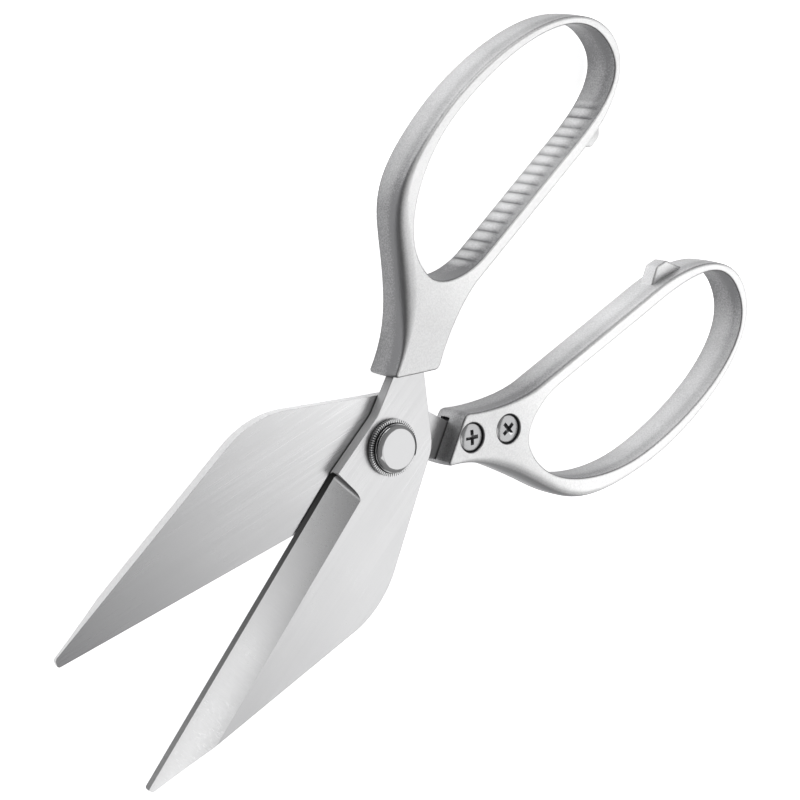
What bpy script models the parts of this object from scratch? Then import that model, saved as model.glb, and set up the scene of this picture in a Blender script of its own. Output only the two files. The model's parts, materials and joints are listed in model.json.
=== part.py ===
"""Poultry shears: two steel blades screwed into die-cast loop handles, on one pivot.

Each half is drawn lying in its own frame: the origin on the pivot axis, +X away from the
cutting side of its blade, +Y towards the handle, Z = 0 on the plane where the blades meet.
With the shears shut, the two frames coincide after one is turned half a turn about Y.
"""
import math

import bmesh
import bpy
from mathutils import Matrix, Vector

mm = 0.001

# ---- driving dimensions -----------------------------------------------------------------
GAP = 0.3 * mm                  # between pieces that touch
OPENING = math.radians(23.85)   # between the halves as modelled
OVERRUN = 5.0 * mm              # how far a cutter runs past what it cuts

# blade
TIP_Y = -99.4 * mm              # end of the blade
TIP_X = -1.2 * mm               # cutting line where it reaches the tip
TIP_WIDE = 2.12 * mm            # from there to the spine, before rounding
BLADE_THICK = 3.0 * mm          # outer face, from the meeting plane
EDGE_X = -9.23 * mm             # cutting line where it passes the pivot
TIP_EDGE_ROUND = 0.7 * mm
TIP_SPINE_ROUND = 1.1 * mm
HEEL_X = -8.25 * mm             # unground edge beside the pivot
HEEL_TOP_Y = 3.0 * mm
HEEL_ROUND = 8.0 * mm
GRIND_END_Y = -13.9 * mm        # where the ground face starts
GRIND_WIDTH = 9.6 * mm
GRIND_HOLLOW = 0.25 * mm        # depth of the wheel's curve below a flat bevel
BEVEL_WIDTH = 0.9 * mm          # the last, steeper bevel at the edge
BEVEL_HEIGHT = 0.75 * mm
SPINE_X = 25.15 * mm            # the blade's back corner, before rounding
SPINE_Y = -30.1 * mm
SPINE_ROUND = 26.0 * mm
SHOULDER_X = 10.2 * mm
SHOULDER_Y = 7.6 * mm
SHOULDER_ROUND = 9.0 * mm

# tang, and the handle's root that holds it
TANG_WIDE = 9.3 * mm
TANG_END_ROUND = 4.2 * mm
SLOT_SLACK = 0.7 * mm           # free space beside the tang, on the lip side
ROOT_HEEL = Vector((-12.1 * mm, 11.4 * mm))
ROOT_TURN = math.radians(47.0)  # lean of the root's end face, from heel to lip
HEEL_WALL = 1.5 * mm            # metal beside the slot at the heel
LIP_WALL = 1.98 * mm            # and at the lip

# handle
HANDLE_DEPTH = 11.0 * mm
CROWN_X = -17.8 * mm            # far end of the loop
CROWN_Y = 115.2 * mm
CROWN_WALL = 2.9 * mm
BELLY_X = -43.8 * mm            # the loop's widest place
BELLY_Y = 67.0 * mm
BELLY_WALL = 3.5 * mm
PALM = Vector((-25.5 * mm, 30.1 * mm))        # where the loop turns into the root
BAR_X = -5.3 * mm               # outside of the straight bar at BAR_Y
BAR_Y = 70.0 * mm
BAR_SLOPE = 0.091
BAR_FOOT_Y = 45.0 * mm
BAR_HEAD_DROP = 28.2 * mm       # from the crown down to the bar's straight stretch
BAR_WALL = 3.7 * mm
HOLE_SLOPE = 0.102              # the bar's inside leans a little more than its outside
HOLE_FOOT_Y = 50.0 * mm
HOLE_BOTTOM = Vector((-20.8 * mm, 36.4 * mm))
BAR_ROUND = 2.2 * mm            # roundings of the long edges, place by place
CROWN_ROUND = 1.7 * mm
BELLY_ROUND = 2.3 * mm
PALM_ROUND = 4.0 * mm
ROOT_ROUND = 0.5 * mm
HOLE_ROUND = 0.9 * mm
STOP_DROP = 21.2 * mm           # from the crown down to the stop lug's middle
STOP_TOP_LONG = 3.4 * mm
STOP_DEEP = 4.5 * mm
STOP_CLEAR = 0.2 * mm           # from the lug's top to the meeting line when shut

# handle screws
SCREWS = (Vector((-9.0 * mm, 21.1 * mm)), Vector((-12.7 * mm, 31.8 * mm)))
SCREW_R = 2.0 * mm
SCREW_HEAD_R = 3.5 * mm
SCREW_HEAD_TALL = 2.1 * mm
SCREW_DOME = 0.8 * mm
SCREW_SINK = 0.35 * mm          # the dome's top below the handle's face
POCKET_CLEAR = 0.4 * mm         # around the head
RECESS_R = 1.7 * mm             # the cross recess
RECESS_WIDE = 0.9 * mm
RECESS_DEEP = 1.0 * mm

# pivot
JOURNAL_R = 3.0 * mm
STUD_R = 2.4 * mm
SQUARE_PROUD = 0.2 * mm         # the bolt's square over its journal, on each side
BOLT_HEAD_R = 6.4 * mm
BOLT_HEAD_CHAMFER = 0.3 * mm
NUT_R = 6.9 * mm
NUT_TALL = 1.1 * mm
NUT_CHAMFER = 0.25 * mm
WASHER_R = 5.0 * mm
WASHER_TALL = 0.4 * mm
COLLAR_R = 6.2 * mm
COLLAR_TALL = 0.3 * mm
CAP_R = 5.8 * mm
CAP_TALL = 1.0 * mm
CAP_CHAMFER_WIDE = 0.9 * mm
CAP_CHAMFER_TALL = 0.6 * mm
CAP_SKIN = 0.45 * mm            # metal over the stud's end

# ---- sizes that follow ------------------------------------------------------------------
HALF_DEPTH = HANDLE_DEPTH / 2
EDGE_SLOPE = (TIP_X - EDGE_X) / TIP_Y          # drift in X for each unit of Y
ROOT_ALONG = Vector((math.cos(ROOT_TURN), math.sin(ROOT_TURN)))
ROOT_OUT = Vector((ROOT_ALONG.y, -ROOT_ALONG.x))
TANG_FROM = HEEL_WALL + GAP
SLOT_TO = TANG_FROM + TANG_WIDE + GAP + SLOT_SLACK
ROOT_LIP = ROOT_HEEL + ROOT_ALONG * (SLOT_TO + LIP_WALL)
BAR_HEAD_Y = CROWN_Y - BAR_HEAD_DROP
STOP_Y = CROWN_Y - STOP_DROP
SQUARE = 2 * (JOURNAL_R + SQUARE_PROUD)
POCKET_R = SCREW_HEAD_R + POCKET_CLEAR
NUT_Z = BLADE_THICK + GAP
COLLAR_Z = NUT_Z + NUT_TALL + GAP
CAP_Z = COLLAR_Z + COLLAR_TALL + GAP
CAP_TOP = CAP_Z + CAP_TALL


# ---- plane geometry ---------------------------------------------------------------------
def anchor(at, heading, pull_in, pull_out, rounding, steps=8):
    """A place that a smooth path passes. Pulls are shares of the chord on their side."""
    pull = (pull_in, pull_out)
    return {"at": Vector(at), "heading": heading, "pull": pull, "round": rounding, "steps": steps}


def smooth_path(anchors):
    """A chain of cubic curves. Gives its points, and the edge rounding wanted at each."""
    points, rounds = [], []
    for here, after in zip(anchors, anchors[1:]):
        chord = (after["at"] - here["at"]).length
        ahead = Matrix.Rotation(math.radians(here["heading"]), 2) @ Vector((1, 0))
        back = Matrix.Rotation(math.radians(after["heading"]), 2) @ Vector((-1, 0))
        a, d = here["at"], after["at"]
        b = a + ahead * here["pull"][1] * chord
        c = d + back * after["pull"][0] * chord
        for i in range(here["steps"]):
            t = i / here["steps"]
            s = 1 - t
            points.append(a * s ** 3 + b * (3 * s * s * t) + c * (3 * s * t * t) + d * t ** 3)
            blend = 0.5 - 0.5 * math.cos(math.pi * t)
            rounds.append(here["round"] + (after["round"] - here["round"]) * blend)
    return points + [anchors[-1]["at"]], rounds + [anchors[-1]["round"]]


def filleted(corners):
    """A closed outline from (point, radius, steps) corners, each rounded with an arc."""
    points = []
    count = len(corners)
    for i, (corner, radius, steps) in enumerate(corners):
        if not radius:
            points.append(corner)
            continue
        before = (corners[i - 1][0] - corner).normalized()
        after = (corners[(i + 1) % count][0] - corner).normalized()
        half = before.angle(after) / 2
        centre = corner + (before + after).normalized() * (radius / math.sin(half))
        first = corner + before * (radius / math.tan(half)) - centre
        sweep = first.angle_signed(corner + after * (radius / math.tan(half)) - centre)
        for k in range(steps + 1):
            points.append(centre + Matrix.Rotation(-sweep * k / steps, 2) @ first)
    return points


def inset(points, distances):
    """A closed outline moved to its left, so a counter-clockwise one shrinks."""
    moved = []
    count = len(points)
    for i, point in enumerate(points):
        ahead = (points[(i + 1) % count] - point).normalized()
        behind = (point - points[i - 1]).normalized()
        normal = (ahead.orthogonal() + behind.orthogonal()).normalized()
        moved.append(point + normal * (distances[i] / normal.dot(ahead.orthogonal())))
    return moved


def circle(centre, radius, sides):
    turns = (2 * math.pi * i / sides for i in range(sides))
    return [centre + Vector((math.cos(a), math.sin(a))) * radius for a in turns]


def rectangle(half_x, half_y):
    return [Vector((x * half_x, y * half_y)) for x, y in ((-1, -1), (1, -1), (1, 1), (-1, 1))]


# ---- solids -----------------------------------------------------------------------------
def new_object(name, bm):
    bmesh.ops.recalc_face_normals(bm, faces=bm.faces)
    mesh = bpy.data.meshes.new(name)
    bm.to_mesh(mesh)
    bm.free()
    obj = bpy.data.objects.new(name, mesh)
    bpy.context.scene.collection.objects.link(obj)
    return obj


def add_ring(bm, points, z):
    return [bm.verts.new((p.x, p.y, z)) for p in points]


def join_rings(bm, low, high):
    count = len(low)
    for i in range(count):
        j = (i + 1) % count
        bm.faces.new((low[i], low[j], high[j], high[i]))


def prism(name, points, low, high):
    """An outline drawn up from one height to another."""
    bm = bmesh.new()
    rings = [add_ring(bm, points, low), add_ring(bm, points, high)]
    join_rings(bm, *rings)
    bm.faces.new(rings[0])
    bm.faces.new(rings[1])
    return new_object(name, bm)


def rounded_slab(name, outlines, half_depth, steps=3):
    """A flat plate with rounded long edges. Each outline is its points and their rounding."""
    turns = [math.pi / 2 * k / steps for k in range(steps + 1)]
    bm = bmesh.new()
    caps = ([], [])
    for outline, rounds in outlines:
        rings = []
        for side, order in ((1, turns), (-1, turns[::-1])):
            for turn in order:
                points = inset(outline, [r * (1 - math.sin(turn)) for r in rounds])
                heights = [side * (half_depth - r * (1 - math.cos(turn))) for r in rounds]
                rings.append([bm.verts.new((p.x, p.y, z)) for p, z in zip(points, heights)])
        for low, high in zip(rings, rings[1:]):
            join_rings(bm, low, high)
        for cap, ring in zip(caps, (rings[0], rings[-1])):
            cap += [bm.edges.get((ring[i - 1], ring[i])) for i in range(len(ring))]
    for cap in caps:
        bmesh.ops.triangle_fill(bm, edges=cap, use_beauty=True, use_dissolve=False)
    return new_object(name, bm)


def turned(name, profile, sides=32):
    """A solid turned about Z from (radius, height) points, from the axis out and back."""
    bm = bmesh.new()
    rings = []
    for radius, z in profile:
        if radius:
            rings.append(add_ring(bm, circle(Vector((0, 0)), radius, sides), z))
        else:
            rings.append([bm.verts.new((0, 0, z))])
    for low, high in zip(rings, rings[1:] + rings[:1]):
        if len(low) == len(high) == sides:
            join_rings(bm, low, high)
        elif len(low) != len(high):
            tip, ring = (low[0], high) if len(low) == 1 else (high[0], low)
            for i in range(sides):
                bm.faces.new((tip, ring[i], ring[(i + 1) % sides]))
    return new_object(name, bm)


def boolean(target, cutter, operation="DIFFERENCE"):
    """Applies one Boolean and removes the tool that made it."""
    modifier = target.modifiers.new(operation.lower(), "BOOLEAN")
    modifier.operation = operation
    modifier.solver = "EXACT"
    modifier.object = cutter
    cutter.hide_render = True
    cutter.display_type = "WIRE"
    bpy.context.view_layer.update()
    evaluated = target.evaluated_get(bpy.context.evaluated_depsgraph_get())
    mesh = bpy.data.meshes.new_from_object(evaluated)
    target.modifiers.clear()
    target.data = mesh
    bpy.data.objects.remove(cutter, do_unlink=True)


# ---- blade ------------------------------------------------------------------------------
def tangent_turn(point, centre, radius, side):
    """Direction, from the centre, of the place where a line from the point meets the circle."""
    reach = point - centre
    return math.atan2(reach.y, reach.x) + side * math.acos(radius / reach.length)


def tang_outline(grow=0.0, slack=0.0):
    """The tang: straight flanks from the root's end face to an arc about the outer screw."""
    centre = SCREWS[1]
    radius = TANG_END_ROUND + grow
    lip = ROOT_HEEL + ROOT_ALONG * (TANG_FROM + TANG_WIDE + grow + slack)
    heel = ROOT_HEEL + ROOT_ALONG * (TANG_FROM - grow)
    start = tangent_turn(lip, centre, radius, 1)
    sweep = (tangent_turn(heel, centre, radius, -1) - start) % (2 * math.pi)
    steps = 10
    arc = []
    for k in range(steps + 1):
        turn = start + sweep * k / steps
        arc.append(centre + Vector((math.cos(turn), math.sin(turn))) * radius)
    return [lip] + arc + [heel]


def edge_x(y):
    return EDGE_X + EDGE_SLOPE * y


def blade_outline():
    corners = [
        (Vector((HEEL_X, HEEL_TOP_Y)), HEEL_ROUND, 4),
        (Vector((HEEL_X, GRIND_END_Y)), 0, 0),
        (Vector((TIP_X, TIP_Y)), TIP_EDGE_ROUND, 3),
        (Vector((TIP_X + TIP_WIDE, TIP_Y)), TIP_SPINE_ROUND, 4),
        (Vector((SPINE_X, SPINE_Y)), SPINE_ROUND, 8),
        (Vector((SHOULDER_X, SHOULDER_Y)), SHOULDER_ROUND, 5),
    ]
    return filleted(corners + [(point, 0, 0) for point in tang_outline()])


def grind_profile():
    """Section of the space that the wheel leaves, as distances from the edge and heights."""
    edge_z = GAP / 2
    low, high = edge_z + BEVEL_HEIGHT, BLADE_THICK
    wide = GRIND_WIDTH - BEVEL_WIDTH
    profile = [(-OVERRUN, edge_z - OVERRUN * BEVEL_HEIGHT / BEVEL_WIDTH), (BEVEL_WIDTH, low)]
    steps = 5
    for k in range(1, steps + 1):
        t = k / steps
        hollow = GRIND_HOLLOW * 4 * t * (1 - t)
        profile.append((BEVEL_WIDTH + wide * t, low + (high - low) * t - hollow))
    end_slope = (high - low + 4 * GRIND_HOLLOW) / wide
    profile.append((GRIND_WIDTH + OVERRUN, high + end_slope * OVERRUN))
    profile.append((-OVERRUN, high + end_slope * OVERRUN))
    return profile


def grind_cutter():
    bm = bmesh.new()
    rings = []
    for y in (GRIND_END_Y, TIP_Y - OVERRUN):
        rings.append([bm.verts.new((edge_x(y) + x, y, z)) for x, z in grind_profile()])
    join_rings(bm, *rings)
    bm.faces.new(rings[0])
    bm.faces.new(rings[1])
    return new_object("grind_cutter", bm)


def make_blade(name, pivot_hole):
    blade = prism(name, blade_outline(), GAP / 2, BLADE_THICK)
    boolean(blade, grind_cutter())
    low, high = -OVERRUN, BLADE_THICK + OVERRUN
    boolean(blade, prism("pivot_cutter", pivot_hole, low, high))
    for centre in SCREWS:
        boolean(blade, prism("screw_cutter", circle(centre, SCREW_R + GAP, 20), low, high))
    return blade


# ---- handle -----------------------------------------------------------------------------
def bar_x(y, wall=0.0):
    return BAR_X + BAR_SLOPE * (y - BAR_Y) - wall


def heading_of(slope):
    """Heading, in degrees from +X, of a line that drifts this much in X for each unit of Y."""
    return 90 - math.degrees(math.atan(slope))


def handle_outer():
    """The outside of the root and loop, counter-clockwise, past the root's end and back."""
    up = heading_of(BAR_SLOPE)
    points, rounds = smooth_path([
        anchor(ROOT_LIP, 115, 0, 0.294, ROOT_ROUND),
        anchor((bar_x(BAR_FOOT_Y), BAR_FOOT_Y), up, 0.273, 0.333, BAR_ROUND),
        anchor((bar_x(BAR_HEAD_Y), BAR_HEAD_Y), up, 0.333, 0.46, BAR_ROUND),
        anchor((CROWN_X, CROWN_Y), 180, 0.365, 0.301, CROWN_ROUND, 12),
        anchor((BELLY_X, BELLY_Y), 270, 0.347, 0.607, BELLY_ROUND, 12),
        anchor(PALM, 318, 0.401, 0.369, PALM_ROUND),
        anchor(ROOT_HEEL, 286, 0.369, 0, ROOT_ROUND),
    ])
    past = ROOT_OUT * OVERRUN
    return [ROOT_LIP + past] + points + [ROOT_HEEL + past], [rounds[0]] + rounds + [rounds[-1]]


def handle_hole():
    """The finger opening, clockwise."""
    down = heading_of(HOLE_SLOPE) + 180
    crown = (CROWN_X - 0.8 * mm, CROWN_Y - CROWN_WALL)
    points, rounds = smooth_path([
        anchor(crown, 0, 0, 0.344, HOLE_ROUND, 10),
        anchor((bar_x(BAR_HEAD_Y, BAR_WALL), BAR_HEAD_Y), down, 0.687, 0.323, HOLE_ROUND),
        anchor((bar_x(HOLE_FOOT_Y, BAR_WALL), HOLE_FOOT_Y), down, 0.323, 0.326, HOLE_ROUND),
        anchor(HOLE_BOTTOM, 180, 0.326, 0.35, HOLE_ROUND, 10),
        anchor((BELLY_X + BELLY_WALL, BELLY_Y), 90, 0.35, 0.324, HOLE_ROUND, 10),
        anchor(crown, 0, 0.304, 0, HOLE_ROUND),
    ])
    return points[:-1], rounds[:-1]


def stop_lug():
    """A block with 45-degree ends on the outside of the bar, in the middle of its depth."""
    top_x, foot_x = -STOP_CLEAR, bar_x(STOP_Y) - BAR_WALL / 2
    half = STOP_TOP_LONG / 2
    foot = half + top_x - foot_x
    outline = [(foot_x, -foot), (top_x, -half), (top_x, half), (foot_x, foot)]
    points = [Vector((x, STOP_Y + y)) for x, y in outline]
    return prism("stop_lug", points, -STOP_DEEP / 2, STOP_DEEP / 2)


def end_cutter():
    """Cuts the casting flat at the root's end face."""
    side = ROOT_ALONG * OVERRUN
    past = ROOT_OUT * 2 * OVERRUN
    corners = [ROOT_HEEL - side, ROOT_LIP + side, ROOT_LIP + side + past, ROOT_HEEL - side + past]
    return prism("end_cutter", corners, -HANDLE_DEPTH, HANDLE_DEPTH)


def slot_cutter():
    """The tang's slot, open at the root's end face."""
    outline = tang_outline(GAP, SLOT_SLACK)
    past = ROOT_OUT * OVERRUN
    outline = [outline[0] + past] + outline + [outline[-1] + past]
    return prism("slot_cutter", outline, -GAP / 2, BLADE_THICK + GAP)


def make_handle(name):
    handle = rounded_slab(name, [handle_outer(), handle_hole()], HALF_DEPTH)
    boolean(handle, stop_lug(), "UNION")
    boolean(handle, end_cutter())
    boolean(handle, slot_cutter())
    floor = -HALF_DEPTH + SCREW_SINK + SCREW_HEAD_TALL + GAP
    for centre in SCREWS:
        boolean(handle, prism("pocket_cutter", circle(centre, POCKET_R, 24), -HANDLE_DEPTH, floor))
        boolean(handle, prism("hole_cutter", circle(centre, SCREW_R + GAP, 20), -HALF_DEPTH, GAP))
    return handle


def make_screw(name, centre):
    """A domed cross-recess screw, its head towards -Z."""
    top = -HALF_DEPTH + SCREW_SINK
    shoulder = top + SCREW_HEAD_TALL
    end = BLADE_THICK - GAP
    profile = [(0, top)]
    steps = 3
    for k in range(1, steps + 1):
        turn = math.pi / 2 * k / steps
        profile.append((SCREW_HEAD_R * math.sin(turn), top + SCREW_DOME * (1 - math.cos(turn))))
    profile += [(SCREW_HEAD_R, shoulder), (SCREW_R, shoulder), (SCREW_R, end), (0, end)]
    screw = turned(name, profile, 24)
    for half_x, half_y in ((RECESS_R, RECESS_WIDE / 2), (RECESS_WIDE / 2, RECESS_R)):
        arm = prism("recess_cutter", rectangle(half_x, half_y), top - OVERRUN, top + RECESS_DEEP)
        boolean(screw, arm)
    screw.data.transform(Matrix.Translation((centre.x, centre.y, 0)))
    return screw


# ---- pivot ------------------------------------------------------------------------------
def make_bolt():
    """Flat head at the back, a square in the back blade, a journal in the front one, a stud."""
    seat = -BLADE_THICK - GAP
    stud_top = CAP_TOP - CAP_SKIN - GAP
    bolt = turned("pivot_bolt", [
        (0, -HALF_DEPTH), (BOLT_HEAD_R - BOLT_HEAD_CHAMFER, -HALF_DEPTH),
        (BOLT_HEAD_R, -HALF_DEPTH + BOLT_HEAD_CHAMFER), (BOLT_HEAD_R, seat), (JOURNAL_R, seat),
        (JOURNAL_R, NUT_Z), (STUD_R, NUT_Z), (STUD_R, stud_top), (0, stud_top),
    ])
    square = prism("square", rectangle(SQUARE / 2, SQUARE / 2), seat - GAP, -GAP)
    boolean(bolt, square, "UNION")
    return bolt


def make_nut():
    """The knurled nut, hollowed below for the washer."""
    bore, hollow = STUD_R + GAP, WASHER_R + GAP
    roof = NUT_Z + WASHER_TALL + GAP
    top = NUT_Z + NUT_TALL
    return turned("knurled_nut", [
        (hollow, NUT_Z), (NUT_R - NUT_CHAMFER, NUT_Z), (NUT_R, NUT_Z + NUT_CHAMFER),
        (NUT_R, top - NUT_CHAMFER), (NUT_R - NUT_CHAMFER, top), (bore, top), (bore, roof),
        (hollow, roof),
    ], 48)


def make_ring(name, inner, outer, low, tall, sides=48):
    return turned(name, [(inner, low), (outer, low), (outer, low + tall), (inner, low + tall)], sides)


def make_cap():
    """The bright cap, closed over the stud's end."""
    bore = STUD_R + GAP
    return turned("pivot_cap", [
        (bore, CAP_Z), (CAP_R, CAP_Z), (CAP_R, CAP_TOP - CAP_CHAMFER_TALL),
        (CAP_R - CAP_CHAMFER_WIDE, CAP_TOP), (0, CAP_TOP), (0, CAP_TOP - CAP_SKIN),
        (bore, CAP_TOP - CAP_SKIN),
    ], 48)


# ---- materials and assembly -------------------------------------------------------------
def material(name, colour, roughness, metallic=1.0):
    made = bpy.data.materials.new(name)
    made.use_nodes = True
    shader = made.node_tree.nodes["Principled BSDF"]
    shader.inputs["Base Color"].default_value = (*colour, 1)
    shader.inputs["Roughness"].default_value = roughness
    shader.inputs["Metallic"].default_value = metallic
    made.diffuse_color = (*colour, 1)
    return made


def frame(name, rotation):
    """An empty on the pivot axis, in the plane where the blades meet."""
    empty = bpy.data.objects.new(name, None)
    bpy.context.scene.collection.objects.link(empty)
    empty.matrix_world = Matrix.Translation((0, 0, HALF_DEPTH)) @ rotation
    return empty


def place(obj, parent, finish):
    obj.parent = parent
    obj.data.materials.clear()
    obj.data.materials.append(finish)
    obj.data.shade_smooth()
    obj.data.set_sharp_from_angle(angle=math.radians(30))
    return obj


def copy_of(obj, name):
    twin = bpy.data.objects.new(name, obj.data)
    bpy.context.scene.collection.objects.link(twin)
    return twin


def build():
    for obj in list(bpy.data.objects):
        bpy.data.objects.remove(obj, do_unlink=True)

    steel = material("blade_steel", (0.72, 0.72, 0.73), 0.3)
    cast = material("handle_aluminium", (0.62, 0.62, 0.63), 0.42)
    bright = material("polished_steel", (0.8, 0.8, 0.8), 0.12)

    front_turn = Matrix.Rotation(OPENING / 2, 4, "Z")
    back_turn = Matrix.Rotation(-OPENING / 2, 4, "Z")
    front = frame("front_half", front_turn)
    back = frame("back_half", back_turn @ Matrix.Rotation(math.pi, 4, "Y"))
    pivot = frame("pivot", back_turn)

    round_hole = circle(Vector((0, 0)), JOURNAL_R + GAP, 32)
    square_hole = rectangle(SQUARE / 2 + GAP, SQUARE / 2 + GAP)
    place(make_blade("front_blade", round_hole), front, steel)
    place(make_blade("back_blade", square_hole), back, steel)

    upper = place(make_handle("upper_handle"), front, cast)
    place(copy_of(upper, "lower_handle"), back, cast)
    for where, centre in zip(("inner", "outer"), SCREWS):
        screw = place(make_screw(f"upper_{where}_screw", centre), front, bright)
        place(copy_of(screw, f"lower_{where}_screw"), back, bright)

    washer = make_ring("pivot_washer", JOURNAL_R + GAP, WASHER_R, NUT_Z, WASHER_TALL, 32)
    collar = make_ring("pivot_collar", STUD_R + GAP, COLLAR_R, COLLAR_Z, COLLAR_TALL)
    for piece in (make_bolt(), washer, make_nut(), collar, make_cap()):
        place(piece, pivot, bright)


build()
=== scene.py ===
# Poultry shears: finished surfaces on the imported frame, with floor, lights and camera.
import json
import math

import bmesh
import bpy
from mathutils import Matrix, Vector


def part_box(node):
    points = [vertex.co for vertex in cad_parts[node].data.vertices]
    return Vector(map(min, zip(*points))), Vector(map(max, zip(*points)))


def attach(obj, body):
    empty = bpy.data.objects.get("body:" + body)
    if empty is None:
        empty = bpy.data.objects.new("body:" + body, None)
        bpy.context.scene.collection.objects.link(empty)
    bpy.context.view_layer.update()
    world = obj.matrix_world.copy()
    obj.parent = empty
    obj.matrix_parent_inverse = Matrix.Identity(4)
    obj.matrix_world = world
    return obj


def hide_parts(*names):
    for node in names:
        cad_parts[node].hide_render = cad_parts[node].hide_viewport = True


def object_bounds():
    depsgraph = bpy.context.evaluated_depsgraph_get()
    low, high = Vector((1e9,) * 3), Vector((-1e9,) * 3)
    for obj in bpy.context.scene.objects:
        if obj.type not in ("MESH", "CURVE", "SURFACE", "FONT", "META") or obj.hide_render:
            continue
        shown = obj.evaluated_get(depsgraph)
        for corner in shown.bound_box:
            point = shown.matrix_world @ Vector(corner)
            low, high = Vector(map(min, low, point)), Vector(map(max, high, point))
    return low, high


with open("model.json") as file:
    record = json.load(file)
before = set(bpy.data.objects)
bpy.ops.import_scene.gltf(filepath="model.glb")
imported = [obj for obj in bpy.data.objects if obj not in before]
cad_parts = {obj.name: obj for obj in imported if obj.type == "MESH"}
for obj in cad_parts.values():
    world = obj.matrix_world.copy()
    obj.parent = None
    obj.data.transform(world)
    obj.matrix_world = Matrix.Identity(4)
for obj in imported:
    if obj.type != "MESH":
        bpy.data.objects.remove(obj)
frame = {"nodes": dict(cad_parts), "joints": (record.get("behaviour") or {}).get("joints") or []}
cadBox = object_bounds()
mm = 0.001

hinge = frame["joints"][0]
pivot = Vector(hinge["pos_m"])
opening = -math.radians(hinge["range_deg"][0])  # the shears are shut at the joint's lower limit
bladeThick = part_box("front_blade")[1].z - pivot.z
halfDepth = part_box("upper_handle")[1].z - pivot.z
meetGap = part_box("front_blade")[0].z - pivot.z  # half of the gap between the blades
overrun = 5.0  # how far a cutter stands out of what it cuts, in mm

# Each half is drawn flat: +x away from its cutting side, +y to the handle, z = 0 where the blades meet.
frontHalf = Matrix.Translation(pivot) @ Matrix.Rotation(opening / 2, 4, "Z")
boltTurn = Matrix.Translation(pivot) @ Matrix.Rotation(-opening / 2, 4, "Z")
backHalf = boltTurn @ Matrix.Rotation(math.pi, 4, "Y")
print("frame loaded, opening", round(math.degrees(opening), 2))


# Outlines

def aimed(angle):
    return Vector((math.cos(angle), math.sin(angle)))


def squareCorners(half):
    return [Vector((x * half, y * half)) for x, y in ((-1, -1), (1, -1), (1, 1), (-1, 1))]


def anchor(x, y, heading, pullIn, pullOut, front, back, step=0.8):
    # a place on a smooth path, in mm; pulls are shares of the chord, front and back are edge roundings
    return {
        "at": Vector((x, y)) * mm, "heading": math.radians(heading), "pullIn": pullIn,
        "pullOut": pullOut, "front": front * mm, "back": back * mm, "step": step * mm,
    }


def smoothPath(anchors):
    path = []
    for here, after in zip(anchors, anchors[1:]):
        start, end = here["at"], after["at"]
        chord = (end - start).length
        startPull = aimed(here["heading"]) * here["pullOut"] * chord
        endPull = aimed(after["heading"]) * after["pullIn"] * chord
        steps = max(4, round(chord / here["step"]))
        for i in range(steps):
            t = i / steps
            s = 1 - t
            point = start * s ** 3 + (start + startPull) * 3 * s * s * t
            point += (end - endPull) * 3 * s * t * t + end * t ** 3
            blend = 0.5 - 0.5 * math.cos(math.pi * t)
            front = here["front"] + (after["front"] - here["front"]) * blend
            back = here["back"] + (after["back"] - here["back"]) * blend
            path.append((point, front, back))
    return path


def filletedPath(corners, front, back):
    # a closed outline from (point, radius, steps) corners, each rounded with an arc
    path = []
    for i, (corner, radius, steps) in enumerate(corners):
        before = (corners[i - 1][0] - corner).normalized()
        after = (corners[(i + 1) % len(corners)][0] - corner).normalized()
        if not radius:
            path.append((corner, front, back))
            continue
        half = before.angle(after) / 2
        centre = corner + (before + after).normalized() * (radius / math.sin(half))
        first = corner + before * (radius / math.tan(half)) - centre
        last = corner + after * (radius / math.tan(half)) - centre
        sweep = first.angle_signed(last)
        for k in range(steps + 1):
            path.append((centre + Matrix.Rotation(-sweep * k / steps, 2) @ first, front, back))
    return path


def inwardNormals(points):
    normals = []
    for i, point in enumerate(points):
        ahead = (points[(i + 1) % len(points)] - point).normalized().orthogonal()
        behind = (point - points[i - 1]).normalized().orthogonal()
        middle = (ahead + behind).normalized()
        # longer at a corner, so that both sides move in by the same amount
        normals.append(middle / max(middle.dot(ahead), 0.3))
    return normals


# Solids

def newPiece(name, bm):
    bmesh.ops.recalc_face_normals(bm, faces=bm.faces)
    mesh = bpy.data.meshes.new(name)
    bm.to_mesh(mesh)
    bm.free()
    piece = bpy.data.objects.new(name, mesh)
    bpy.context.scene.collection.objects.link(piece)
    return piece


def joinRings(bm, low, high):
    for i in range(len(low)):
        j = (i + 1) % len(low)
        bm.faces.new((low[i], low[j], high[j], high[i]))


def sectionPoint(part, t, front, back, low, high):
    # how far in, and how high, one line of the edge section lies
    if part == "front":
        turn = math.pi / 2 * t
        return front * (1 - math.sin(turn)), high - front * (1 - math.cos(turn))
    if part == "wall":
        return 0.0, high - front + (low + back - high + front) * t
    turn = math.pi / 2 * (1 - t)
    return back * (1 - math.sin(turn)), low + back * (1 - math.cos(turn))


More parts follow.
